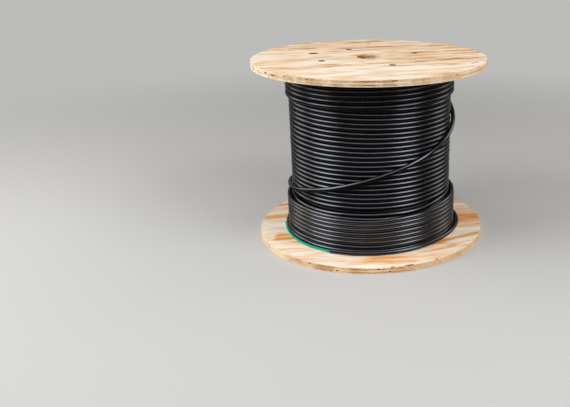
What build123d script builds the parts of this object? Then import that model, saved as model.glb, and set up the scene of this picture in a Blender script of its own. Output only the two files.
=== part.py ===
# Wooden cable drum, upright on its lower flange, with black rubber cable wound on it.
# Millimetres. The origin is the centre of the lower flange's underside, +Z is the drum's
# axis, and -Y is the side that faces the viewer.
import os
from math import cos, radians, sin, tan

from build123d import *

# Flanges: two plywood discs and the clear distance between them.
flange_diameter = 508.0
flange_thickness = 14.0
traverse = 368.0

# Holes through both flanges. The arbor hole is on the axis, the drive hole is inside the
# barrel, and the start hole, for the cable's inner end, is just outside it.
arbor_diameter = 54.0
drive_hole_diameter = 22.0
drive_hole_offset = 96.5
drive_hole_angle = -22.0
start_hole_diameter = 22.0
start_hole_angle = 158.0
start_hole_gap = 0.8

# Barrel: a paperboard tube let into a ring groove in the inner face of each flange.
barrel_diameter = 244.0
barrel_wall = 5.0
groove_depth = 4.0
groove_clearance = 0.25

# Tie bolts: flat round heads flush with the upper flange, and nuts on washers in pockets
# in the underside of the lower one.
bolt_count = 4
bolt_first_angle = 25.0
bolt_diameter = 6.4
bolt_clearance = 0.3
bolt_to_barrel = 3.0
head_diameter = 14.4
head_thickness = 2.4
head_edge_break = 0.4
head_clearance = 0.25
nut_across_flats = 11.0
nut_thickness = 5.4
nut_recess = 1.6
nut_clearance = 0.15
thread_past_nut = 0.8
washer_diameter = 17.0
washer_thickness = 1.4
washer_clearance = 1.0

# Cable, and the turned outline of its winding: full layers from flange to flange, a part
# layer under the upper flange, a deeper one over the lower flange, and one foot turn. The
# outer turns show as ribs, one for each pair of turns.
cable_diameter = 9.8
turn_pitch = 9.9
full_layers = 6
layer_rise = 9.3
upper_band_turns = 6
upper_band_rise = 6.4
lower_band_turns = 9
lower_band_rise = 12.2
foot_turn_rise = 6.0
foot_edge_break = 3.0
turns_per_rib = 2
valley_depth = 3.4
winding_clearance = 0.3

# Crossing turn: the loose turn that comes down from the upper band to the lower one. Each
# point is its angle round the axis in degrees and its height, as a share of the way from
# the lower band to the upper one.
crossing_stand_off = 0.4
crossing_route = [
    (54.0, 1.000),
    (27.0, 0.945),
    (0.0, 0.783),
    (-27.0, 0.630),
    (-54.0, 0.499),
    (-81.0, 0.369),
    (-108.0, 0.243),
    (-135.0, 0.138),
    (-162.0, 0.063),
    (-189.0, 0.020),
    (-216.0, 0.004),
]

# Green conductor, bared at the cable's outer end, on the lower flange beside the foot turn.
# Its points are angles round the axis in degrees.
conductor_diameter = 4.4
conductor_stand_off = 0.4
conductor_lift = 0.1
conductor_route = [-117.0, -129.0, -141.0, -153.0, -165.5, -178.0]

# The share of the shorter run that an arc of a cord takes at each end.
arc_share = 0.45

# Sizes that follow from the ones above.
flange_radius = flange_diameter / 2
lower_face = flange_thickness
upper_face = flange_thickness + traverse
drum_height = upper_face + flange_thickness
barrel_radius = barrel_diameter / 2
bolt_offset = barrel_radius - barrel_wall - bolt_to_barrel - bolt_diameter / 2
bolt_angles = [bolt_first_angle + i * 360 / bolt_count for i in range(bolt_count)]
start_hole_offset = barrel_radius + start_hole_gap + start_hole_diameter / 2
nut_bottom = nut_recess
washer_bottom = nut_bottom + nut_thickness
pocket_depth = washer_bottom + washer_thickness
full_radius = barrel_radius + cable_diameter + (full_layers - 1) * layer_rise
foot_radius = full_radius + lower_band_rise + foot_turn_rise
winding_low = lower_face + winding_clearance
winding_high = upper_face - winding_clearance
lower_band_top = winding_low + lower_band_turns * turn_pitch
upper_band_bottom = winding_high - upper_band_turns * turn_pitch

upwards = (Align.CENTER, Align.CENTER, Align.MIN)


def polar(offset, angle, height=0.0):
    """The point at a distance from the axis, at an angle round it and at a height."""
    return (offset * cos(radians(angle)), offset * sin(radians(angle)), height)


def upright(diameter, height, offset=0.0, angle=0.0, low=0.0):
    """A round bar that stands at a place round the drum's axis."""
    return Pos(*polar(offset, angle, low)) * Cylinder(diameter / 2, height, align=upwards)


def flange(low, inner_face):
    """A plywood disc with its through holes and the barrel's ring groove."""
    disc = upright(flange_diameter, flange_thickness, low=low)
    disc -= upright(arbor_diameter, flange_thickness, low=low)
    disc -= upright(drive_hole_diameter, flange_thickness, drive_hole_offset, drive_hole_angle, low)
    disc -= upright(start_hole_diameter, flange_thickness, start_hole_offset, start_hole_angle, low)
    for angle in bolt_angles:
        disc -= upright(bolt_diameter + 2 * bolt_clearance, flange_thickness, bolt_offset, angle, low)
    groove = upright(barrel_diameter + 2 * groove_clearance, 2 * groove_depth, low=inner_face - groove_depth)
    groove -= upright(
        barrel_diameter - 2 * (barrel_wall + groove_clearance), 2 * groove_depth, low=inner_face - groove_depth
    )
    return disc - groove


def upper_flange():
    disc = flange(upper_face, upper_face)
    seat_diameter = head_diameter + 2 * head_clearance
    for angle in bolt_angles:
        disc -= upright(seat_diameter, head_thickness, bolt_offset, angle, drum_height - head_thickness)
    return disc


def lower_flange():
    disc = flange(0.0, lower_face)
    for angle in bolt_angles:
        disc -= upright(washer_diameter + 2 * washer_clearance, pocket_depth, bolt_offset, angle)
    return disc


def barrel_tube():
    length = traverse + 2 * groove_depth
    tube = upright(barrel_diameter, length, low=lower_face - groove_depth)
    return tube - upright(barrel_diameter - 2 * barrel_wall, length, low=lower_face - groove_depth)


def tie_bolt(angle):
    head = Cylinder(head_diameter / 2, head_thickness, align=upwards)
    head = chamfer(head.edges().group_by(Axis.Z)[-1], head_edge_break)
    tip = nut_bottom - thread_past_nut
    shank = upright(bolt_diameter, drum_height - head_thickness - tip, bolt_offset, angle, tip)
    return shank + Pos(*polar(bolt_offset, angle, drum_height - head_thickness)) * head


def washer(angle):
    bore = bolt_diameter + 2 * bolt_clearance
    ring = upright(washer_diameter, washer_thickness, bolt_offset, angle, washer_bottom)
    return ring - upright(bore, washer_thickness, bolt_offset, angle, washer_bottom)


def nut(angle):
    hexagon = extrude(RegularPolygon(nut_across_flats / 2, 6, major_radius=False), nut_thickness)
    place = Pos(*polar(bolt_offset, angle, nut_bottom)) * Rot(0, 0, angle)
    return place * hexagon - upright(bolt_diameter + 2 * nut_clearance, nut_thickness, bolt_offset, angle, nut_bottom)


def ribs(radius, low, high):
    """The outline of a stack of ribs, from the valley below the first to the last one's crest."""
    count = round((high - low) / (turns_per_rib * turn_pitch))
    rise = (high - low) / count
    outline = []
    for i in range(count):
        outline.append((radius - valley_depth, low + i * rise))
        outline.append((radius, low + (i + 0.5) * rise))
    return outline


def winding():
    """The wound cable as one turned solid, with its outer turns as ribs."""
    bore_radius = barrel_radius + winding_clearance
    lower_radius = full_radius + lower_band_rise
    upper_radius = full_radius + upper_band_rise
    foot_top = winding_low + cable_diameter
    outline = [(bore_radius, winding_low), (foot_radius, winding_low)]
    outline += [(foot_radius, foot_top - foot_edge_break), (foot_radius - foot_edge_break, foot_top)]
    outline += ribs(lower_radius, foot_top, lower_band_top)
    outline += [(lower_radius - valley_depth, lower_band_top)]
    outline += ribs(full_radius, lower_band_top, upper_band_bottom)
    outline += [(full_radius - valley_depth, upper_band_bottom)]
    outline += ribs(upper_radius, upper_band_bottom, winding_high)
    outline += [(upper_radius - valley_depth, winding_high), (bore_radius, winding_high)]
    return revolve(Plane.XZ * make_face(Polyline(*outline, close=True)), Axis.Z)


def cord(points, diameter, node):
    """A tube along straight runs joined by arcs as large as the two runs allow."""
    points = [Vector(*point) for point in points]
    runs = [after - before for before, after in zip(points, points[1:])]
    radii = []
    for before, after in zip(runs, runs[1:]):
        half_turn = radians(before.get_angle(after)) / 2
        radii.append(arc_share * min(before.length, after.length) / tan(half_turn))
    path = FilletPolyline(*points, radius=radii)
    tube = sweep(Plane(points[0], z_dir=runs[0]) * Circle(diameter / 2), path)
    print(f"{node}: length {path.length:.0f}, radii", *(round(radius) for radius in radii))
    print(f"{node}: volume over section times length", round(tube.volume / (path.length * diameter**2 * 0.7854), 4))
    return tube


def crossing_turn():
    centre = full_radius + crossing_stand_off + cable_diameter / 2
    step = crossing_route[0][0] - crossing_route[1][0]
    offset = centre / cos(radians(step / 2))
    lowest = lower_band_top + crossing_stand_off + cable_diameter / 2
    highest = upper_band_bottom - crossing_stand_off - cable_diameter / 2
    points = [polar(offset, angle, lowest + share * (highest - lowest)) for angle, share in crossing_route]
    return cord(points, cable_diameter, "crossing_turn")


def green_conductor():
    centre = foot_radius + conductor_stand_off + conductor_diameter / 2
    step = conductor_route[0] - conductor_route[1]
    offset = centre / cos(radians(step / 2))
    height = lower_face + conductor_lift + conductor_diameter / 2
    return cord([polar(offset, angle, height) for angle in conductor_route], conductor_diameter, "green_conductor")


def save(shape, node):
    export_step(shape, f"parts/{node}.step")
    print(f"{node}: {shape.volume:.0f} mm3")


os.makedirs("parts", exist_ok=True)
save(upper_flange(), "flange_upper")
save(lower_flange(), "flange_lower")
save(barrel_tube(), "barrel_tube")
for i, angle in enumerate(bolt_angles, 1):
    save(tie_bolt(angle), f"tie_bolt_{i}")
    save(washer(angle), f"washer_{i}")
    save(nut(angle), f"nut_{i}")
save(winding(), "wound_cable")
save(crossing_turn(), "crossing_turn")
save(green_conductor(), "green_conductor")
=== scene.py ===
# %% [markdown]
# A wooden cable drum stands on its lower flange: two plywood discs, a paperboard barrel
# between them, four bolts, and black rubber cable wound on the barrel. The solids come in
# ready packed, in metres, with the drum's axis on Z and the viewer on the -Y side. This
# lesson dresses them: it gives the wood its grain, lays the cable's turns, and lights it all.

from math import atan2, cos, degrees, floor, pi, radians, sin

import bmesh
import bpy
from mathutils import Euler, Matrix, Vector, noise


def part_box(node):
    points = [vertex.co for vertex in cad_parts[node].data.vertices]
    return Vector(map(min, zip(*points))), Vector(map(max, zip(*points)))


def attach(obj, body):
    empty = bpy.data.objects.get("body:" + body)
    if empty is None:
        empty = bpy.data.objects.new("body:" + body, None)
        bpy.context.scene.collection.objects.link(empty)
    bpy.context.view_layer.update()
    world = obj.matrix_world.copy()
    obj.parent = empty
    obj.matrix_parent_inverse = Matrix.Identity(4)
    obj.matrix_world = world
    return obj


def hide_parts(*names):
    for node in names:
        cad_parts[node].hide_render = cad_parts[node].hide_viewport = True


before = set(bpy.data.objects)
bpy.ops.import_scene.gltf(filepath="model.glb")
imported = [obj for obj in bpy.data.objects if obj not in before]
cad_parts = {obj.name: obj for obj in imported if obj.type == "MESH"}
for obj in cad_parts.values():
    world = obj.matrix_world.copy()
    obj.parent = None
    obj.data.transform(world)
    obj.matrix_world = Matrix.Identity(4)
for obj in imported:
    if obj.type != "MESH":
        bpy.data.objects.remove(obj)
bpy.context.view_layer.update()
print("solids", sorted(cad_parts))

# %% [markdown]
# The main sizes are read from the solids, so that the dressed drum fits them. A solid's box
# gives its lowest and highest corners.

# %% Sizes
disc_low, disc_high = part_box("flange_upper")
foot_low, foot_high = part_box("flange_lower")
tube_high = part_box("barrel_tube")[1]
flange_radius = disc_high.x
flange_thickness = foot_high.z - foot_low.z
print("flange radius", round(flange_radius, 4), "thickness", round(flange_thickness, 4))

# %% [markdown]
# The camera stands a little above the drum and looks down by about twenty degrees. Its
# lens was worked out from the two flanges' ellipses. The picture's middle lies beside the
# drum, and the lens is shifted for that, because turning the camera would lean the uprights.

# %% Camera
eye = (0.0, -1.5917, 0.6618)
look_down, look_right = 0.3433, 0.0371
camera_data = bpy.data.cameras.new("camera")
camera_data.lens = 46.37
camera_data.sensor_width = 36.0
camera_data.sensor_fit = "HORIZONTAL"
camera_data.shift_x = -0.196
camera_data.shift_y = -0.026
camera = bpy.data.objects.new("camera", camera_data)
camera.location = eye
camera.rotation_euler = Euler((pi / 2 - look_down, 0.0, -look_right))
bpy.context.collection.objects.link(camera)
bpy.context.scene.camera = camera
print("camera at", eye, "looks down by", round(degrees(look_down), 1), "degrees")

# %% [markdown]
# Shader maths could be wired up node by node, but it is easier to read as sums. A wire is
# one output of a node, and a sum on wires adds the Math nodes for it.

# %% Wires
class Wire:
    """An output of a node that sums can be written on."""

    def __init__(self, finish, socket):
        self.finish = finish
        self.socket = socket

    def maths(self, operation, first, second=None):
        terms = (first, second)
        is_vector = any(isinstance(term, Wire) and term.socket.type == "VECTOR" for term in terms)
        made = self.finish.tree.nodes.new("ShaderNodeVectorMath" if is_vector else "ShaderNodeMath")
        made.operation = operation
        for socket, term in zip(made.inputs, terms):
            if is_vector and isinstance(term, (int, float)):
                term = (term, term, term)
            self.finish.feed(socket, term)
        return Wire(self.finish, made.outputs[0])

    def __add__(self, other):
        return self.maths("ADD", self, other)

    __radd__ = __add__

    def __sub__(self, other):
        return self.maths("SUBTRACT", self, other)

    def __rsub__(self, other):
        return self.maths("SUBTRACT", other, self)

    def __mul__(self, other):
        return self.maths("MULTIPLY", self, other)

    __rmul__ = __mul__

    def __truediv__(self, other):
        return self.maths("DIVIDE", self, other)

    def __rtruediv__(self, other):
        return self.maths("DIVIDE", other, self)

    def __pow__(self, other):
        return self.maths("POWER", self, other)

    def size(self):
        """The wire without its sign."""
        return self.maths("ABSOLUTE", self)

    def fade(self, start, end, low=0.0, high=1.0):
        """Goes smoothly from low to high as the wire goes from start to end."""
        return self.finish.node(
            "MapRange",
            {"interpolation_type": "SMOOTHSTEP"},
            {"Value": self, "From Min": start, "From Max": end, "To Min": low, "To Max": high},
        )


print("wires add, subtract, multiply, divide and fade")

# %% [markdown]
# A finish is one material. It has one method that adds any node, a few short ones for the
# nodes that every finish needs, and one that sets the shader. All patterns start from
# Object coordinates, in metres, so that a grain's size can be thought of as a real one.

# %% Finishes
class Finish:
    """A material and the nodes behind it."""

    def __init__(self, name):
        self.material = bpy.data.materials.new(name)
        self.material.use_nodes = True
        self.tree = self.material.node_tree
        self.shader = self.tree.nodes["Principled BSDF"]
        self.place = self.node("TexCoord", out="Object")

    def feed(self, socket, value):
        if isinstance(value, Wire):
            self.tree.links.new(value.socket, socket)
        elif value is not None:
            socket.default_value = value

    def node(self, kind, settings=None, sockets=None, out=0):
        made = self.tree.nodes.new("ShaderNode" + kind)
        for name, value in (settings or {}).items():
            if name == "stops":
                while len(made.color_ramp.elements) < len(value):
                    made.color_ramp.elements.new(0.5)
                for element, (position, colour) in zip(made.color_ramp.elements, value):
                    element.position = position
                    element.color = colour
            else:
                setattr(made, name, value)
        for name, value in (sockets or {}).items():
            self.feed(made.inputs[name], value)
        return Wire(self, made.outputs[out])

    def parts(self, vector):
        """The three numbers of a vector."""
        first = self.node("SeparateXYZ", {}, {"Vector": vector})
        return [Wire(self, output) for output in first.socket.node.outputs]

    def vector(self, x, y, z):
        return self.node("CombineXYZ", {}, {"X": x, "Y": y, "Z": z})

    def noise(self, vector, scale, detail=2.0, roughness=0.5, distortion=0.0):
        sockets = {"Vector": vector, "Scale": scale, "Detail": detail, "Roughness": roughness}
        return self.node("TexNoise", {}, {**sockets, "Distortion": distortion}, "Fac")

    def mix(self, share, first, second):
        return self.node("Mix", {"data_type": "RGBA"}, {0: share, 6: first, 7: second}, 2)

    def ramp(self, tone, stops):
        """A colour for a tone, between stops of a place and a colour."""
        painted = [(place, paint(colour)) for place, colour in stops]
        return self.node("ValToRGB", {"stops": painted}, {"Fac": tone})

    def bump(self, height, distance, strength=1.0):
        sockets = {"Height": height, "Distance": distance, "Strength": strength}
        return self.node("Bump", {}, sockets)

    def cover(self, share, shader):
        """Lays a second shader over a share of the surface."""
        under = Wire(self, self.shader.outputs[0])
        blend = self.node("MixShader", {}, {0: share, 1: under, 2: shader})
        self.tree.links.new(blend.socket, self.tree.nodes["Material Output"].inputs["Surface"])

    def set(self, **sockets):
        for name, value in sockets.items():
            self.feed(self.shader.inputs[name.replace("_", " ")], value)


def paint(hexcode):
    """A colour as it looks on a screen, in the linear numbers that a shader uses."""
    parts = [int(hexcode[i : i + 2], 16) / 255 for i in (0, 2, 4)]
    linear = [part / 12.92 if part <= 0.04045 else ((part + 0.055) / 1.055) ** 2.4 for part in parts]
    return (*linear, 1.0)


print("cream reads as", [round(part, 3) for part in paint("f0dcc0")])

# %% [markdown]
# Sheathing plywood is faced with rotary cut pine: the knife peels the log as it turns, so
# the year rings come out as broad wandering bands, pale early wood between orange late wood.
# Noise alone can make a good figure, but not the few strong bands that give a face its
# character. Those are listed one by one, each as a bowed line with a width at either end. A
# wide and weak one shades a whole region, and one of negative strength makes it paler.

# %% Late wood bands and painted shade
def late_wood_and_shade_band(x, y, start, end, bow, widths, strength):
    """A dark band from start to end, in shares of the flange's radius."""
    share = (x - start[0]) / (end[0] - start[0])
    middle = share * (end[1] - start[1]) + start[1] + share * (1.0 - share) * (4.0 * bow)
    off = (y - middle).size() / (share * (widths[1] - widths[0]) + widths[0])
    soft_edge = off.fade(1.15, 0.25)
    run_out = share.fade(-0.08, 0.08) * share.fade(1.08, 0.92)
    return soft_edge * run_out * strength


print("a band's lengths are shares of", round(flange_radius, 4), "m")

# %% [markdown]
# The soft figure that is everywhere is noise stretched along the grain, in four sizes: wide
# streaks that wander, blotches, narrow streaks, and the fibre. Their sum is a tone, the
# bands are added to it, and a ramp turns it into pine's colours. Knots are small brown
# ovals laid over the colour. Every face uses this maker, with its own grain and bands.

# %% Veneer
wander = 0.16
knot_brown = paint("6e3f20")


def veneer(name, grain_turn, offset, figure, shortness, tones, bands=(), knots=()):
    """Peeled pine: the grain's turn and offset, the figure's strength and how short it is."""
    finish = Finish(name)
    grain = finish.node(
        "Mapping",
        {"vector_type": "TEXTURE"},
        {"Vector": finish.place, "Rotation": (0.0, 0.0, radians(grain_turn)), "Location": offset},
    )
    along, across, depth = finish.parts(grain)
    stretched, deep = along * shortness, depth * 0.2
    flow = finish.vector(stretched, across, deep)
    slow = finish.noise(flow, 7.0, 1.0)
    blotch_line = finish.vector(along * (2 * shortness), across, deep)
    blotch = finish.noise(blotch_line, 52.0, 3.0, 0.6, 0.4).fade(0.35, 0.65)
    bent = finish.vector(stretched, across + (slow - 0.5) * wander, deep)
    broad = finish.noise(bent, 42.0, 2.0, 0.55).fade(0.36, 0.66)
    narrow = finish.noise(bent, 150.0, 3.0, 0.6).fade(0.32, 0.70)
    fibre = finish.noise(finish.vector(along * 22.0, across * 560.0, depth * 60.0), 1.0, 3.0, 0.6)
    streaks = broad * 0.5 + blotch * 0.4 + narrow * 0.7 - 0.8
    tone = streaks * figure + (fibre - 0.5) * 0.4 + 0.33
    x, y = [part / flange_radius for part in finish.parts(finish.place)[:2]]
    ragged = y + (finish.noise(flow, 60.0, 3.0, 0.6) - 0.5) * 0.07 + (fibre - 0.5) * 0.02
    for band in bands:
        tone = tone + late_wood_and_shade_band(x, ragged, *band)
    colour = finish.ramp(tone, zip((0.0, 0.35, 0.7, 1.0), tones))
    for knot_x, knot_y, size, stretch in knots:
        part_x, part_y = (x - knot_x) / stretch, y - knot_y
        far = (part_x * part_x + part_y * part_y) ** 0.5 + (fibre - 0.5) * size * 0.9
        colour = finish.mix(far.fade(size * 1.5, size * 0.6), colour, knot_brown)
    finish.set(Base_Color=colour, Roughness=(fibre * 0.2 + 0.6), Specular_IOR_Level=0.16)
    finish.set(Normal=finish.bump(fibre * 0.6 + broad * 0.4, 0.00035, 0.8))
    print(name, "has", len(finish.tree.nodes), "nodes")
    return finish.material


# %% Upper face
upper_tones = ("fdf3e4", "f6ddbd", "e9bf8e", "bd8148")
# The second band, wide and weak over the right, is painted shade; the third, of negative strength,
# makes the front paler.
upper_bands = [
    ((-1.1, 0.70), (1.1, 0.62), 0.0, (0.42, 0.46), 0.20),
    ((0.30, 0.02), (1.2, 0.16), 0.0, (0.26, 0.40), 0.14),
    ((-0.7, -0.74), (1.1, -0.52), -0.04, (0.20, 0.24), -0.16),
    ((-1.0, -0.32), (-0.1, -0.42), 0.08, (0.05, 0.03), 0.22),
    ((-0.75, 0.02), (0.25, 0.30), 0.03, (0.04, 0.05), 0.20),
    ((-0.35, -0.45), (0.75, -0.12), 0.02, (0.05, 0.04), 0.24),
    ((0.2, 0.12), (1.0, 0.36), 0.03, (0.06, 0.08), 0.20),
    ((-0.9, 0.42), (0.4, 0.46), 0.06, (0.04, 0.03), 0.16),
    ((-0.35, -0.86), (0.85, -0.55), -0.02, (0.03, 0.03), 0.22),
]
upper_knots = [(-0.01, 0.789, 0.014, 1.6), (0.842, -0.334, 0.013, 1.1), (0.875, -0.302, 0.010, 1.5)]
upper_veneer = veneer(
    "veneer_upper", grain_turn=17.0, offset=(0.04, 0.013, 0.0), figure=0.92, shortness=0.115,
    tones=upper_tones, bands=upper_bands, knots=upper_knots,
)

# %% Lower and hidden faces
lower_tones = ("fdf3e2", "f2dec6", "f0ae68", "d0833c")
lower_bands = [
    ((0.28, -0.66), (0.98, -0.31), 0.02, (0.075, 0.030), 0.62),
    ((-0.05, -0.86), (0.95, -0.42), -0.06, (0.070, 0.016), 0.34),
    ((0.66, -0.03), (1.06, 0.03), 0.03, (0.13, 0.12), 0.50),
    ((0.70, 0.21), (1.04, 0.27), 0.0, (0.10, 0.09), -0.10),
    ((0.74, 0.49), (0.97, 0.54), 0.0, (0.05, 0.04), 0.55),
    ((-0.84, -0.36), (-0.50, -0.50), 0.04, (0.13, 0.10), 0.36),
    ((-1.0, 0.10), (-0.55, 0.14), 0.02, (0.06, 0.05), 0.45),
    ((-0.9, 0.42), (0.0, 0.66), 0.10, (0.05, 0.06), 0.50),
    ((-0.2, 0.86), (0.8, 0.72), 0.05, (0.05, 0.04), 0.55),
]
lower_veneer = veneer(
    "veneer_lower", grain_turn=8.0, offset=(0.11, 0.06, 0.0), figure=0.60, shortness=0.10,
    tones=lower_tones, bands=lower_bands,
)
under_tones = ("efdfc4", "dcbd90", "c08e58", "966230")
under_bands = [
    ((-0.9, -0.2), (0.9, 0.1), 0.12, (0.05, 0.05), 0.4),
    ((-0.8, 0.4), (0.8, 0.5), 0.10, (0.04, 0.05), 0.4),
    ((-0.7, -0.6), (0.7, -0.55), 0.08, (0.05, 0.03), 0.4),
]
under_veneer = veneer(
    "veneer_under", grain_turn=-6.0, offset=(0.31, 0.22, 0.0), figure=0.5, shortness=0.12,
    tones=under_tones, bands=under_bands,
)

# %% [markdown]
# The cut edge of the board shows its five plies: three of full thickness in the core and a
# thinner face on either side. Every second ply runs across, so at each place round the rim
# some plies are cut along the grain, smooth and pale, and the others across it, as rough
# brown end grain, with dark lines of glue between. Each ply could be a piece of its own,
# but a material can tell the ply from the height, and the direction of the cut from the
# angle round the axis. Where the rim is dented below its sawn radius, and in the voids of
# the crosswise plies, a dark brown is painted shade. An edge's painted light and shade is
# two places along X and the tones that they add: the rim is painted paler at its far left,
# and a bore is painted darker on its left wall and paler on its right.

# %% Ply edges
ply_thickness = flange_thickness / 4


def ply_edge(name, low, reach, colours, worn, hollow_shade, painted_light_and_shade):
    """A sawn edge from a height up, painted dark where it is dented inside a reach, and with painted
    light and shade across x.
    """
    finish = Finish(name)
    x, y, z = finish.parts(finish.place)
    angle = finish.node("Math", {"operation": "ARCTAN2"}, {0: y, 1: x})
    span = (x * x + y * y) ** 0.5
    wobble = (finish.noise(finish.vector(angle * 7.0, z * 60.0, 0.0), 1.0, 3.0) - 0.5) * 0.22
    height = (z - low) / ply_thickness + wobble
    ply = finish.node("Math", {"operation": "PINGPONG"}, {0: height, 1: 1.0})
    crosswise = ply.fade(0.42, 0.58)
    side = (x * x) ** 0.5 / span
    end_share = side * (1.0 - crosswise) + (1.0 - side) * crosswise
    glue = (ply - 0.5).size().fade(0.18, 0.05) * x.fade(-0.02, 0.14, 0.3, 1.0)
    faces = (height - 2.0).size().fade(1.45, 1.6)
    fibre_line = finish.vector(angle * 36.0, z * 1700.0, span * 40.0)
    fibre = finish.noise(fibre_line, 1.0, 3.0, 0.65).fade(0.25, 0.75)
    grit = finish.noise(finish.place, 620.0, 3.0, 0.65).fade(0.3, 0.7)
    cloud = finish.noise(finish.place, 34.0, 3.0, 0.6).fade(0.3, 0.7)
    tone = end_share * 0.34 + glue * 0.22 + (fibre - 0.5) * 0.34
    tone = tone + (grit - 0.5) * (end_share * 0.36 + 0.10)
    # The tones that go across x are painted light and shade.
    left, right, left_tone, right_tone = painted_light_and_shade
    tone = tone + (cloud - 0.5) * x.fade(0.0, 0.14, 0.42, 0.2)
    tone = tone + x.fade(left, right, left_tone, right_tone) - faces * 0.16 + worn
    colour = finish.ramp(tone, zip((0.0, 0.5, 1.0), colours))
    void_line = finish.vector(angle * 20.0, z * 400.0, 3.0)
    voids = finish.noise(void_line, 1.0, 2.0).fade(0.66, 0.74) * crosswise
    dent_shade = span.fade(reach - 0.0003, reach - 0.0012) * 0.9
    # The dark brown laid in the voids and dents is painted shade.
    finish.set(Base_Color=finish.mix(voids + dent_shade, colour, paint(hollow_shade)))
    finish.set(Roughness=0.78, Specular_IOR_Level=0.2)
    relief = fibre * 0.5 + grit * end_share * 0.6 - voids * 1.6 - glue * 0.3
    finish.set(Normal=finish.bump(relief, 0.0008, 1.0))
    print(name, "has", len(finish.tree.nodes), "nodes")
    return finish.material


# %% Rims and bores
# The rim is painted paler at its far left, as painted light.
rim_look = {"reach": flange_radius, "hollow_shade": "5a3b22", "painted_light_and_shade": (-0.23, -0.12, -0.20, 0.0)}
upper_browns = ("fae6c8", "c99f70", "64401f")
lower_browns = ("ffe4bc", "d09a62", "5f3b1e")
upper_edge = ply_edge("edge_upper", disc_low.z, colours=upper_browns, worn=0.13, **rim_look)
lower_edge = ply_edge("edge_lower", foot_low.z, colours=lower_browns, worn=0.10, **rim_look)
# A bore is painted darker on its left wall and paler on its right, as painted shade and light.
bore_look = {"reach": 0.0, "hollow_shade": "5a3a1c", "painted_light_and_shade": (-0.018, 0.028, 0.62, -0.10)}
bore_browns = ("fdf0da", "dcab74", "84542a")
upper_bore = ply_edge("bore_upper", disc_low.z, colours=bore_browns, worn=0.04, **bore_look)
lower_bore = ply_edge("bore_lower", foot_low.z, colours=bore_browns, worn=0.04, **bore_look)

# %% [markdown]
# A flange is a disc with a sawn rim, through holes, and the barrel's ring groove. It could
# be cut with boolean modifiers, but those leave long thin faces that shade badly. Here each
# wall is a short outline spun once round its own axis, which gives clean rings, and the flat
# faces are then filled between the rings' open edges.

# %% Walls and faces
def spun(board, outline, steps, offset=(0.0, 0.0)):
    """Spins an outline of (radius, height) points round an upright axis, and gives its vertices."""
    points = [board.verts.new((offset[0] + radius, offset[1], height)) for radius, height in outline]
    edges = [board.edges.new(pair) for pair in zip(points, points[1:])]
    before = set(board.verts)
    bmesh.ops.spin(
        board, geom=points + edges, cent=(*offset, 0.0), axis=(0.0, 0.0, 1.0), dvec=(0.0, 0.0, 0.0),
        angle=2 * pi, steps=steps, use_merge=True,
    )
    return [v for v in board.verts if v not in before] + points


def open_edges(board, height, near, far):
    """The open edges at a height whose distance from the drum's axis lies between two radii."""
    found = []
    for edge in board.edges:
        if len(edge.link_faces) != 1:
            continue
        middle = (edge.verts[0].co + edge.verts[1].co) / 2
        if abs(middle.z - height) < 1e-5 and near <= middle.xy.length <= far:
            found.append(edge)
    return found


def fill(board, edges, slot):
    made = bmesh.ops.triangle_fill(board, use_beauty=True, use_dissolve=False, edges=edges)
    for face in made["geom"]:
        if isinstance(face, bmesh.types.BMFace):
            face.material_index = slot


def triangles(piece):
    return sum(len(polygon.vertices) - 2 for polygon in piece.data.polygons)


def finished(board, name, materials, smooth_angle=35.0):
    """Makes a piece of a bmesh: faces outward, smooth but for its sharp edges, and riding along."""
    bmesh.ops.remove_doubles(board, verts=board.verts, dist=1e-6)
    bmesh.ops.recalc_face_normals(board, faces=board.faces)
    for face in board.faces:
        face.smooth = True
    for edge in board.edges:
        edge.smooth = len(edge.link_faces) == 2 and edge.calc_face_angle(0.0) < radians(smooth_angle)
    mesh = bpy.data.meshes.new(name)
    board.to_mesh(mesh)
    board.free()
    for material in materials:
        mesh.materials.append(material)
    piece = bpy.data.objects.new(name, mesh)
    bpy.context.collection.objects.link(piece)
    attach(piece, "root")
    return piece


print("walls are spun, faces are filled")

# %% [markdown]
# The saw and years of rolling leave the rim uneven: a fine roughness everywhere, small
# voids where a core ply has a gap, and chips knocked out of it. Bump alone would leave the
# outline a perfect ellipse, so the rim's own vertices are moved. They go inwards only, and
# the disc keeps its size.

# %% A worn rim
ply_count = 5
core_roughness, face_roughness = 0.00022, 0.00008
gap_from, gap_ramp, gap_depth = 0.42, 0.1, 0.0016


def worn_rim(verts, low, chips, seed):
    for vert in verts:
        angle = degrees(atan2(vert.co.y, vert.co.x))
        height = vert.co.z - low
        ply = int(max(0.0, min(ply_count - 0.001, height / (flange_thickness / ply_count))))
        in_core = ply % 2 == 1
        place = Vector((angle * 1.7, ply * 9.1 + height * 260.0, seed))
        if in_core:
            depth = core_roughness * (noise.noise(place) + 0.6)
        else:
            depth = face_roughness * (noise.noise(place * 0.6) + 0.7)
        gap = noise.noise(Vector((angle * 0.42, ply * 5.3, seed + 7.0)))
        if in_core and gap > gap_from:
            depth += gap_depth * min(1.0, (gap - gap_from) / gap_ramp)
        for chip_angle, chip_height, wide, tall, deep in chips:
            reach = ((angle - chip_angle) / wide) ** 2 + ((height - chip_height) / tall) ** 2
            depth += deep * max(0.0, 1.0 - reach)
        inwards = 1.0 - max(0.0, depth) / vert.co.xy.length
        vert.co.x *= inwards
        vert.co.y *= inwards


print("a rim wears by up to", gap_depth, "in its gaps")

# %% [markdown]
# Both flanges have the arbor hole on the axis, a drive hole inside the barrel, a start hole
# outside it for the cable's inner end, and four bolt holes. A bolt hole widens to a seat for
# the bolt's head in the upper flange, and to a pocket for nut and washer in the lower one.
# They repeat the solids' sizes, because the bolts and the barrel keep their solids.

# %% Holes, seats and pockets
def round_axis(offset, angle):
    return (offset * cos(radians(angle)), offset * sin(radians(angle)))


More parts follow.
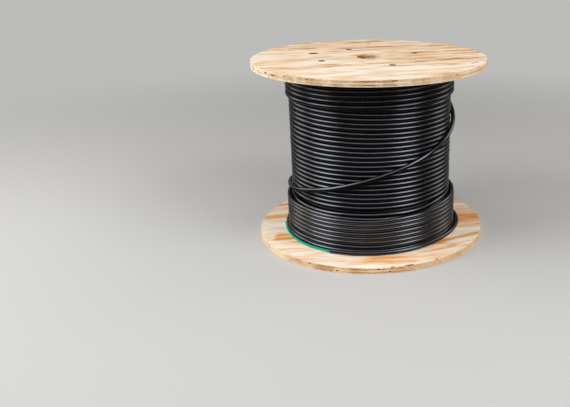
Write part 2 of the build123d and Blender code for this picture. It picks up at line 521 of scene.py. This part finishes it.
arbor_radius = 0.027
side_hole_radius = 0.011
drive_at, start_at = round_axis(0.0965, -22), round_axis(0.1338, 158)
groove_in, groove_out, groove_depth = 0.11675, 0.12225, 0.004
bolt_hole_radius = 0.0035
bolts_at = [round_axis(0.1108, angle) for angle in (25, 115, 205, 295)]
head_seat = (0.00745, 0.0024)
nut_pocket = (0.0095, 0.0084)
print("bolts at", [tuple(round(part, 4) for part in place) for place in bolts_at])

# %% A flange
rim_rows = 15
rim_steps, arbor_steps, side_steps, groove_steps, bolt_steps = 720, 96, 48, 192, 40
arris_height, arris_depth = 0.0005, 0.0004
outer_face, rim_wall, bore_wall, inner_face = range(4)


def flange(name, node, low, inner_at_top, chips, materials, seed):
    top = low + flange_thickness
    inner, outer = (top, low) if inner_at_top else (low, top)
    deeper = -1 if inner_at_top else 1
    board = bmesh.new()
    heights = [flange_thickness * row / rim_rows for row in range(rim_rows + 1)]
    heights += [arris_height, flange_thickness - arris_height]
    heights = sorted({round(height, 5) for height in heights})
    outline = [(flange_radius, low + height) for height in heights]
    for end in (0, -1):
        outline[end] = (flange_radius - arris_depth, outline[end][1])
    rim = spun(board, outline, rim_steps)
    worn_rim(rim, low, chips, seed)
    for face in board.faces:
        face.material_index = rim_wall
    rim_faces = set(board.faces)
    spun(board, [(arbor_radius, low), (arbor_radius, top)], arbor_steps)
    for place in (drive_at, start_at):
        spun(board, [(side_hole_radius, low), (side_hole_radius, top)], side_steps, place)
    groove_floor = inner + deeper * groove_depth
    groove = [(groove_in, inner), (groove_in, groove_floor)]
    groove += [(groove_out, groove_floor), (groove_out, inner)]
    spun(board, groove, groove_steps)
    seat_radius, seat_depth = nut_pocket if inner_at_top else head_seat
    seat_floor = outer - deeper * seat_depth
    seat = [(bolt_hole_radius, inner), (bolt_hole_radius, seat_floor)]
    seat += [(seat_radius, seat_floor), (seat_radius, outer)]
    for place in bolts_at:
        spun(board, seat, bolt_steps, place)
    for face in board.faces:
        if face not in rim_faces:
            face.material_index = bore_wall
    fill(board, open_edges(board, outer, 0.0, 1.0), outer_face)
    fill(board, open_edges(board, inner, groove_out - 0.0002, 1.0), inner_face)
    fill(board, open_edges(board, inner, 0.0, groove_in + 0.0002), inner_face)
    piece = finished(board, name, materials)
    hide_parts(node)
    print(name, "triangles", triangles(piece))


# %% [markdown]
# Each chip has its angle and height on the rim, its half width in degrees, its half height,
# and its depth. The materials are those of the outer face, the rim, the bores and the inner
# face.

# %% Two flanges
upper_chips = [
    (-143.8, 0.0085, 1.0, 0.0022, 0.0025),
    (-138.0, 0.0080, 2.6, 0.0016, 0.0018),
    (-90.6, 0.0034, 3.0, 0.0009, 0.0012),
    (-79.4, 0.0108, 1.7, 0.0013, 0.0020),
    (-71.9, 0.0073, 0.8, 0.0008, 0.0014),
]
lower_chips = [
    (-58.1, 0.0136, 1.0, 0.0016, 0.0016),
    (-72.4, 0.0138, 2.6, 0.0022, 0.0022),
    (-80.5, 0.0138, 1.4, 0.0018, 0.0018),
]
upper_finishes = [upper_veneer, upper_edge, upper_bore, under_veneer]
lower_finishes = [under_veneer, lower_edge, lower_bore, lower_veneer]
flange("plywood_disc_upper", "flange_upper", disc_low.z, False, upper_chips, upper_finishes, 1.0)
flange("plywood_disc_lower", "flange_lower", foot_low.z, True, lower_chips, lower_finishes, 5.0)

# %% [markdown]
# The cable has a smooth black rubber jacket. It is nearly black, and all that shows of its
# form is its sheen, so the finish is a dark colour with a faintly blue gloss. The slightly
# blue colour laid on the upward faces is dust and also a painted bluish sheen. One glossy
# shader alone would shine all round a turn, so where a turn faces straight out a second,
# dull shader covers the gloss, as painted shade that keeps the pale floor's reflection off
# that side. How far a place faces up is told from the surface's own normal.

# %% Rubber
def rubber(name, colours, gloss, shine, dulls, under=None):
    """A jacket of a colour and its dust, which is partly a painted sheen, whose gloss dulls between
    two slopes of the normal as painted shade, and whose undersides may carry a painted reflection.
    """
    finish = Finish(name)
    haze = finish.noise(finish.place, 46.0, 3.0, 0.6)
    grain = finish.noise(finish.place, 900.0, 3.0, 0.6)
    upward = finish.parts(finish.node("TexCoord", out="Normal"))[2]
    clean, dust = [paint(colour) for colour in colours]
    # Dust on the upward faces, in a bluish colour that is also a painted sheen.
    dust_and_sheen = upward.fade(0.3, 1.0) * haze.fade(0.35, 0.75)
    tone = finish.mix(dust_and_sheen * 0.6, clean, dust)
    # A brownish tint on the undersides is a painted reflection of the pale wood below.
    if under:
        tone = finish.mix(upward.fade(-0.08, -0.4), tone, paint(under))
    relief = finish.bump(grain * 0.35 + haze * 0.65, 0.0001, 0.6)
    finish.set(Base_Color=tone, Roughness=haze * 0.12 + gloss, Normal=relief)
    finish.set(IOR=1.56, Specular_IOR_Level=shine, Specular_Tint=(0.84, 0.88, 1.0, 1.0))
    dull = {"Base Color": tone, "Roughness": 0.6, "Specular IOR Level": 0.03, "Normal": relief}
    # Where a turn faces straight out, a dull shader is laid over the gloss as painted shade.
    painted_shade_belt = upward.fade(*dulls) * upward.fade(0.42, 0.08) * 0.97
    finish.cover(painted_shade_belt, finish.node("BsdfPrincipled", {}, dull))
    print(name, "has", len(finish.tree.nodes), "nodes")
    return finish.material


# %% [markdown]
# The lower band lies just above the pale wood and picks it up on its undersides, so those
# stay glossy further up and have a brownish tint, a painted reflection of the wood. The
# hidden layers are darker and duller, as painted shade between the outer turns, and the
# green insulation of the bared conductor is made the same way.

# %% Jackets
dulls_low, dulls_early = (-0.75, -0.5), (-0.30, -0.12)
jacket = ("030304", "0e0e12")
cable_rubber = rubber("rubber_black", jacket, gloss=0.19, shine=0.95, dulls=dulls_low)
low_rubber = rubber(
    "rubber_black_low", jacket, gloss=0.19, shine=0.95, dulls=dulls_early, under="33271a"
)
# The hidden layers are darker and duller, as painted shade in the gaps between the outer turns.
shaded_core_rubber = rubber("rubber_core_shaded", ("020203", "060608"), gloss=0.45, shine=0.3, dulls=dulls_low)
green_tones = ("00a88c", "00b094")
green_skin = rubber("insulation_green", green_tones, gloss=0.45, shine=0.1, dulls=dulls_low)

# %% [markdown]
# A layer of cable is wound almost level: in each turn it steps sideways twice by half a
# diameter, once at the front and once at the back, where it crosses the gap between two
# turns of the layer below. The next layer steps the other way. A plain helix would miss
# that, so a turn's height at an angle is a stair with two soft steps a turn, and a slow
# noise keeps the turns uneven.

# %% Laying turns
cable_radius = 0.0048
pitch = 0.0099
step = 10.0


def smooth(share):
    return share * share * (3.0 - 2.0 * share)


def stair(angle, first, width):
    """How many turns the cable has moved along the barrel when it has gone round to an angle."""
    halves = floor((angle - first) / 180.0)
    return 0.5 * (halves + smooth(min(1.0, (angle - first - 180.0 * halves) / width)))


def uneven(angle, seed, reach):
    return reach * noise.noise(Vector((angle / 130.0, seed, 0.37)))


def between(table, angle, column):
    """A value that goes softly from row to row of a table whose first column is an angle."""
    for row, later in zip(table, table[1:]):
        share = (angle - row[0]) / (later[0] - row[0])
        if 0.0 <= share <= 1.0:
            return row[column] + (later[column] - row[column]) * smooth(share)
    return table[-1][column]


def ring_point(radius, angle, height, apart):
    """A control point, far enough out for the curve inside it to have the radius asked for."""
    return (*round_axis(radius / cos(radians(apart / 2)), angle), height)


print("pitch", pitch, "of a cable of", 2 * cable_radius)

# %% [markdown]
# A turn could be swept as a mesh, but a curve with a round bevel is the same shape and can
# still be read as a line. The control points lie a step apart round the axis. Where two
# cords meet, their ends are drawn a little thinner, which tucks the caps into one another.

# %% A cord
tucked_end, tucked_next = 0.8, 0.94


def cord_curve(name, points, radius, material, sides=4, smoothness=3, tucks=(False, False)):
    line = bpy.data.curves.new(name, "CURVE")
    line.dimensions = "3D"
    line.bevel_depth = radius
    line.bevel_resolution = sides
    line.resolution_u = smoothness
    line.use_fill_caps = True
    spline = line.splines.new("NURBS")
    spline.points.add(len(points) - 1)
    for control, point in zip(spline.points, points):
        control.co = (*point, 1.0)
    for tuck, end, inner in ((tucks[0], 0, 1), (tucks[1], -1, -2)):
        if tuck:
            spline.points[end].radius, spline.points[inner].radius = tucked_end, tucked_next
    spline.order_u = 3
    spline.use_endpoint_u = True
    line.materials.append(material)
    piece = bpy.data.objects.new(name, line)
    bpy.context.collection.objects.link(piece)
    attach(piece, "root")
    print(name, "has", len(points), "points")
    return piece


# %% [markdown]
# The inner layers are hidden behind the outer ones. They are one turned core, whose outside
# has the rings of its last layer, so that a gap between two outer turns shows cable and not
# a flat wall.

# %% Hidden layers
base_radius = 0.1734
core_radius = base_radius - 0.0093
valley_radius = core_radius - 0.003
barrel_gap = tube_high.x + 0.0003
wall_low = foot_high.z + 0.0003
wall_high = disc_low.z - 0.0003
ring_count = 37
ring_radius = 0.0049
core = bmesh.new()
outline = [(barrel_gap, wall_low), (valley_radius, wall_low)]
for ring in range(ring_count):
    middle = wall_low + (ring + 0.5) * (wall_high - wall_low) / ring_count
    for turn in (-60, -30, 0, 30, 60):
        out, up = round_axis(ring_radius, turn)
        outline.append((core_radius + out, middle + up))
outline += [(valley_radius, wall_high), (barrel_gap, wall_high), (barrel_gap, wall_low)]
spun(core, outline, 96)
hidden = finished(core, "hidden_layers", [shaded_core_rubber], smooth_angle=50.0)
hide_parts("wound_cable")
print("hidden layers' triangles", triangles(hidden))

# %% [markdown]
# The last full layer runs from flange to flange. Its turns step down as they go round
# anticlockwise, behind the front. One turn, just above the lower band, has come loose and
# hangs half a turn low at the front, with a dark gap on either side of it. Its table gives
# how far it has dropped at each angle.

# %% Loose turn
loose_turn = [
    (-245.0, 0.0),
    (-200.0, 0.0040),
    (-150.0, 0.0056),
    (-120.0, 0.0052),
    (-95.0, 0.0044),
    (-55.0, 0.0046),
    (-30.0, 0.0),
]
loose_after = 360.0 * 10
print("the loose turn drops by up to", max(drop for angle, drop in loose_turn))

# %% Leaning turns
lean_down, lean_up = -0.0033, 0.0012
lean_middle, lean_growth = 0.2, 0.064


def lean(height):
    """How a turn leans to the right: the upper turns down, and the lower ones a little up."""
    return max(lean_down, min(lean_up, lean_up - (height - lean_middle) * lean_growth))


print("leans", [round(lean(height), 4) for height in (wall_low, lean_middle, wall_high)])

# %% Full layer
front = -90.0
turns_before_front = 19
front_height = 0.2001
steps_from, step_width = -30.0, 70.0
points = []
layer_angle = front - 360.0 * turns_before_front
while True:
    moved = stair(layer_angle, steps_from, step_width) - stair(front, steps_from, step_width)
    height = front_height - pitch * moved + uneven(layer_angle, 3.0, 0.0006)
    height += lean(height) * sin(radians(layer_angle + 95.0))
    radius = base_radius + uneven(layer_angle, 11.0, 0.0005)
    if loose_turn[0][0] <= layer_angle - loose_after <= loose_turn[-1][0]:
        drop = between(loose_turn, layer_angle - loose_after, 1)
        height -= drop
        radius += drop * 0.25
    if height < wall_low + cable_radius:
        break
    if height < wall_high - cable_radius:
        points.append(ring_point(radius, layer_angle, height, step))
    layer_angle += step
full_layer = cord_curve("full_layer", points, cable_radius, cable_rubber)
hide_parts("wound_cable")

# %% [markdown]
# On the full layer lies the last length of cable. It starts as a narrow band under the
# upper flange, comes loose and crosses down over the bare layer in less than one turn, and
# then builds a second band on the lower flange. The crossing's middle repeats the route of
# its solid: an angle, and a share of the way up from the lower band to the upper one.

# %% The crossing's route
crossing_radius = 0.1836
crossing_low, crossing_high = 0.1087, 0.3170
crossing_step = 27.0
route = [
    (54.0, 1.000), (27.0, 0.945), (0.0, 0.783), (-27.0, 0.630), (-54.0, 0.499), (-81.0, 0.369),
    (-108.0, 0.243), (-135.0, 0.138), (-162.0, 0.063), (-189.0, 0.020), (-216.0, 0.004),
]
crossing_points = []
for angle, share in route:
    height = crossing_low + share * (crossing_high - crossing_low)
    crossing_points.append(ring_point(crossing_radius, angle, height, crossing_step))
print("the crossing's route has", len(crossing_points), "points")

# %% [markdown]
# The upper band climbs from the crossing's height to the flange. Its first turn starts
# further out, where the crossing leaves it, and settles onto the layer within a quarter turn.

# %% Upper band
upper_radius = 0.1798
leaves_at, climb_width = 54.0, 120.0
lift, lift_width = 0.0026, 90.0
starts_at, settled_at, start_out = 40.0, 90.0, 0.0038
upper_points = []
angle = starts_at
while True:
    climb = stair(angle, leaves_at, climb_width) - stair(leaves_at, leaves_at, climb_width)
    lifted = lift * max(0.0, min(1.0, (angle - leaves_at) / lift_width))
    height = crossing_high + 0.0006 + lifted + pitch * climb + uneven(angle, 21.0, 0.0010)
    if height > wall_high - cable_radius:
        break
    radius = upper_radius - uneven(angle, 27.0, 0.0008)
    if angle < settled_at:
        radius += start_out * (settled_at - angle) / (settled_at - starts_at)
    upper_points.append(ring_point(radius, angle, height, step))
    angle += step
upper_band = cord_curve("upper_band", upper_points, cable_radius, cable_rubber, tucks=(True, False))
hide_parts("wound_cable")

# %% [markdown]
# The crossing runs down behind onto the lower band and is its top turn. The band's turns
# keep level behind and step down by half a turn at the front, a little right of the middle.
# The last one comes down on the flange, goes once round it, and the foot turn follows outside
# it, swinging in and out as it was left. All of it is one line, and its heights and its
# distances from the axis are read from a table.

# %% The lower band's table
band_radius = 0.1856
at_right = [0.0901, 0.0804, 0.0713, 0.0607, 0.0510, 0.0409, 0.0319]
at_left = [0.0929, 0.0852, 0.0763, 0.0672, 0.0573, 0.0477, 0.0390, 0.0285]
band_route = [
    (-206.0, 0.1102, 0.1836),
    (-250.0, 0.1050, 0.1842),
    (-300.0, 0.0995, 0.1850),
    (-350.0, 0.0972, 0.1856),
    (-370.0, 0.0965, 0.1850),
    (-385.0, 0.0940, 0.1822),
    (-400.0, 0.0908, 0.1790),
    (-420.0, 0.0888, 0.1776),
    (-434.0, 0.0888, 0.1784),
    (-450.0, 0.0896, 0.1820),
    (-470.0, 0.0912, 0.1845),
    (-490.0, at_left[0], band_radius),
]
for turn, (right, left) in enumerate(zip(at_right, at_left[1:])):
    start = -360.0 * turn
    band_route += [
        (start - 600.0, at_left[turn] - 0.0004, band_radius),
        (start - 640.0, right, band_radius),
        (start - 780.0, right, band_radius),
        (start - 815.0, left, band_radius),
        (start - 850.0, left, band_radius),
    ]
print("the band steps at", len(at_right), "turns")

# %% The last turn and the foot turn
flat = 0.0192
band_end = -360.0 * 9 - 117.0
landing = band_end + 360.0
band_route += [
    (landing - 30.0, 0.0264, 0.1858),
    (landing - 61.0, 0.0235, 0.1868),
    (landing - 85.0, 0.0202, 0.1885),
    (landing - 100.0, flat, 0.1894),
    (landing - 180.0, flat, 0.1884),
    (landing - 235.0, flat, 0.1894),
    (landing - 249.0, flat, 0.1882),
    (landing - 260.0, flat, 0.1851),
    (landing - 270.0, flat, 0.1826),
    (landing - 282.0, flat, 0.1802),
    (landing - 301.0, flat, 0.1816),
    (landing - 318.0, flat, 0.1833),
    (landing - 340.0, flat, 0.1855),
    (band_end, 0.0193, 0.1868),
    (band_end - 12.0, 0.0195, 0.1880),
    (band_end - 35.0, 0.0195, 0.1886),
    (band_end - 52.0, 0.0194, 0.1896),
    (band_end - 64.0, 0.0193, 0.1925),
    (band_end - 80.0, flat, 0.1976),
    (band_end - 100.0, flat, 0.1990),
    (band_end - 180.0, flat, 0.1980),
    (band_end - 235.0, flat, 0.1990),
    (band_end - 249.0, flat, 0.1978),
    (band_end - 260.0, flat, 0.1947),
    (band_end - 270.0, flat, 0.1922),
    (band_end - 282.0, flat, 0.1898),
    (band_end - 301.0, flat, 0.1912),
    (band_end - 318.0, flat, 0.1929),
    (band_end - 340.0, flat, 0.1951),
    (band_end - 352.0, flat, 0.1965),
    (band_end - 360.0, 0.0190, 0.1972),
]
print("the lower band's table has", len(band_route), "rows")

# %% Lower band
uneven_from = -500.0
lower_points = []
angle = band_route[0][0]
while angle >= band_end - 360.5:
    height, radius = between(band_route, angle, 1), between(band_route, angle, 2)
    if landing < angle < uneven_from:
        height += uneven(angle, 31.0, 0.0003)
        radius += uneven(angle, 37.0, 0.0005)
    lower_points.append(ring_point(radius, angle, height, step))
    angle -= step
lower_band = cord_curve("lower_band", lower_points, cable_radius, low_rubber, tucks=(True, False))
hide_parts("wound_cable")

# %% [markdown]
# It is one cable, so the crossing's ends have to run into the bands. It shares its first and
# last few points with them, and lies in their own turns there.

# %% Joining the crossing to the bands
shared = 5
points = upper_points[shared - 1 :: -1] + crossing_points[1:-1] + lower_points[:shared]
crossing = cord_curve(
    "crossing_turn_cable", points, cable_radius, cable_rubber, smoothness=12, tucks=(True, True)
)
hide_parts("crossing_turn")

# %% [markdown]
# The foot turn's jacket ends at the front left, where the fitter cut it back. The green
# conductor runs on from it, on the flange, hard against the turn behind it. Its points have
# the angles of its solid's, and lie a few millimetres further in, to follow that turn.

# %% Conductor
conductor_angles = [-117.0, -129.0, -141.0, -153.0, -165.5, -178.0]
conductor_radii = [0.1944, 0.1968, 0.1954, 0.1955, 0.1959, 0.1964]
conductor_height = 0.0163
conductor_radius = 0.00226
green_points = []
for radius, angle in zip(conductor_radii, conductor_angles):
    green_points.append(ring_point(radius, angle, conductor_height, 12.0))
green = cord_curve(
    "green_conductor_bared", green_points, conductor_radius, green_skin, sides=6, smoothness=12
)
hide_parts("green_conductor")

# %% [markdown]
# A staple's leg still stands in the flange beside the foot turn, at the front right. It is a
# small bent splinter of bright wire, so a bevelled box, tilted and turned, is enough.

# %% Staple
staple_metal = Finish("staple_wire")
scratch = staple_metal.noise(staple_metal.place, 800.0)
stain = staple_metal.noise(staple_metal.place, 300.0)
staple_metal.set(Metallic=0.9, Roughness=scratch * 0.2 + 0.25)
staple_metal.set(Base_Color=staple_metal.mix(stain, paint("b9bcc0"), paint("e6e6e4")))
staple_angle, staple_reach = -24.3, 0.1995
tilt = Matrix.Rotation(radians(staple_angle) + 0.9, 3, "Z") @ Matrix.Rotation(-0.5, 3, "Y")
leg = bmesh.new()
bmesh.ops.create_cube(leg, size=1.0)
bmesh.ops.scale(leg, verts=leg.verts, vec=(0.0046, 0.0012, 0.0009))
bmesh.ops.bevel(
    leg, geom=leg.edges[:], offset=0.0002, segments=2, profile=0.5, affect="EDGES", material=-1
)
bmesh.ops.rotate(leg, verts=leg.verts, cent=(0, 0, 0), matrix=tilt)
staple_at = (*round_axis(staple_reach, staple_angle), foot_high.z + 0.0012)
bmesh.ops.translate(leg, verts=leg.verts, vec=staple_at)
staple = finished(leg, "staple_leg", [staple_metal.material])
print("staple leg at", [round(part, 4) for part in staple_at])

# %% [markdown]
# The metal is plain zinc plated steel that has gone dark and a little blue, brushed by wear.
# The barrel is spiral wound grey brown paperboard, whose seam is found from the height and
# the angle together. Both keep their solids, which are already the right shape.

# %% Steel and paperboard
strip_height = 0.09


def steel(name):
    finish = Finish(name)
    scratch = finish.noise(finish.place, 900.0, 3.0, 0.7)
    stain = finish.noise(finish.place, 160.0, 3.0, 0.6)
    colour = finish.mix(stain.fade(0.35, 0.7), paint("262c38"), paint("4c5460"))
    finish.set(Base_Color=colour, Metallic=0.85)
    finish.set(Roughness=scratch * 0.3 + 0.3, Normal=finish.bump(scratch, 0.0001, 0.5))
    return finish.material


def paperboard(name):
    finish = Finish(name)
    x, y, z = finish.parts(finish.place)
    angle = finish.node("Math", {"operation": "ARCTAN2"}, {0: y, 1: x})
    wrap = finish.node("Math", {"operation": "FRACT"}, {0: z / strip_height + angle / (2 * pi)})
    seam = wrap.fade(0.012, 0.0) + wrap.fade(0.988, 1.0)
    fibre = finish.noise(finish.place, 300.0, 4.0, 0.7)
    cloud = finish.noise(finish.place, 14.0, 3.0, 0.6)
    tone = (fibre - 0.5) * 0.6 + cloud - seam * 0.4
    colour = finish.mix(tone.fade(0.2, 0.9), paint("80664a"), paint("b09673"))
    finish.set(Base_Color=colour, Roughness=0.9)
    finish.set(Specular_IOR_Level=0.15, Normal=finish.bump(fibre * 0.3 - seam, 0.0006, 0.8))
    return finish.material


print("a strip of paperboard is", strip_height, "m high")

# %% Finishes of the solids
bolt_steel = steel("steel_bolt")
board_brown = paperboard("paperboard_barrel")
for name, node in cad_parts.items():
    if name == "barrel_tube" or name.startswith(("tie_bolt", "washer", "nut")):
        node.data.materials.clear()
        node.data.materials.append(board_brown if name == "barrel_tube" else bolt_steel)
print("steel and paperboard set")

# %% [markdown]
# The drum stands on a plain pale floor. Lamps lose their strength with distance, so the far
# floor would go dark, and more light would wash the drum out. The far floor glows instead.
# The camera and reflections see the glow, but it lights nothing, and near the floor's edge
# it fades to the backdrop's shade, so that a low view shows no hard line there.

# %% Floor's finish
glow_from, glow_full = 0.6, 2.2
edge_from, edge_full = 6.0, 13.0
backdrop_shade = (0.096, 0.098, 0.1, 1.0)
pale = Finish("floor_pale")
pale.set(Base_Color=paint("c6c6c4"), Roughness=0.9, Specular_IOR_Level=0.1)
x, y = pale.parts(pale.place)[:2]
away = (x * x + y * y) ** 0.5
rays = ("Camera", "Glossy", "Transmission")
seen = [pale.node("LightPath", out=f"Is {kind} Ray") for kind in rays]
shade = pale.mix(away.fade(edge_from, edge_full), paint("bcbcba"), backdrop_shade)
glow = pale.node("Emission", {}, {"Color": shade, "Strength": 1.0})
pale.cover(away.fade(glow_from, glow_full) * (seen[0] + seen[1] + seen[2]), glow)
pale.material.cycles.emission_sampling = "NONE"
print("the floor glows from", glow_from, "m out")

# %% Floor
floor_radius = 14.0
floor_mesh = bmesh.new()
bmesh.ops.create_circle(floor_mesh, cap_ends=True, segments=64, radius=floor_radius)
ground = bpy.data.meshes.new("floor")
floor_mesh.to_mesh(ground)
floor_mesh.free()
ground.materials.append(pale.material)
floor_piece = bpy.data.objects.new("floor", ground)
bpy.context.collection.objects.link(floor_piece)
print("floor of radius", floor_radius)

# %% [markdown]
# Shiny black cable shows little but what it reflects, so the lamps are placed for the lines
# of sheen that they draw along the turns. Two large ones stand at the left and at the front
# right, and a weak one above the front fills the top. Two weak and warm ones behind the drum
# catch the turns close to its outline.

# %% Lamps
lamp_aim = Vector((0.0, 0.0, 0.2))


def lamp(name, azimuth, elevation, distance, size, power, colour):
    data = bpy.data.lights.new(name, "AREA")
    data.shape = "RECTANGLE"
    data.size, data.size_y = size
    data.energy = power
    data.color = colour
    piece = bpy.data.objects.new(name, data)
    around, up = radians(azimuth), radians(elevation)
    direction = Vector((cos(around) * cos(up), sin(around) * cos(up), sin(up)))
    piece.location = lamp_aim + distance * direction
    piece.rotation_euler = (lamp_aim - piece.location).to_track_quat("-Z", "Y").to_euler()
    bpy.context.collection.objects.link(piece)


lamp("lamp_left", -160.0, 30.0, 2.2, (1.3, 2.0), 40.0, (0.98, 0.985, 1.0))
lamp("lamp_right", -38.0, 30.0, 2.4, (1.2, 2.0), 37.0, (0.99, 0.99, 1.0))
lamp("lamp_front", -93.0, 45.0, 2.2, (2.2, 1.3), 13.0, (1.0, 0.99, 0.97))
lamp("lamp_back_left", 158.0, 22.0, 2.4, (1.0, 1.8), 13.0, (1.0, 0.92, 0.82))
lamp("lamp_back_right", 22.0, 22.0, 2.4, (1.0, 1.8), 11.0, (1.0, 0.90, 0.78))

# %% [markdown]
# The world adds a faint even light, so that no shadow is quite black. The view transform is
# Standard, at which a colour renders about as it is written.

# %% World
world = bpy.data.worlds.new("studio")
bpy.context.scene.world = world
world.use_nodes = True
backdrop = world.node_tree.nodes["Background"]
backdrop.inputs["Color"].default_value = (0.96, 0.98, 1.0, 1.0)
backdrop.inputs["Strength"].default_value = 0.10
bpy.context.scene.view_settings.view_transform = "Standard"
print("world strength", round(backdrop.inputs["Strength"].default_value, 3))
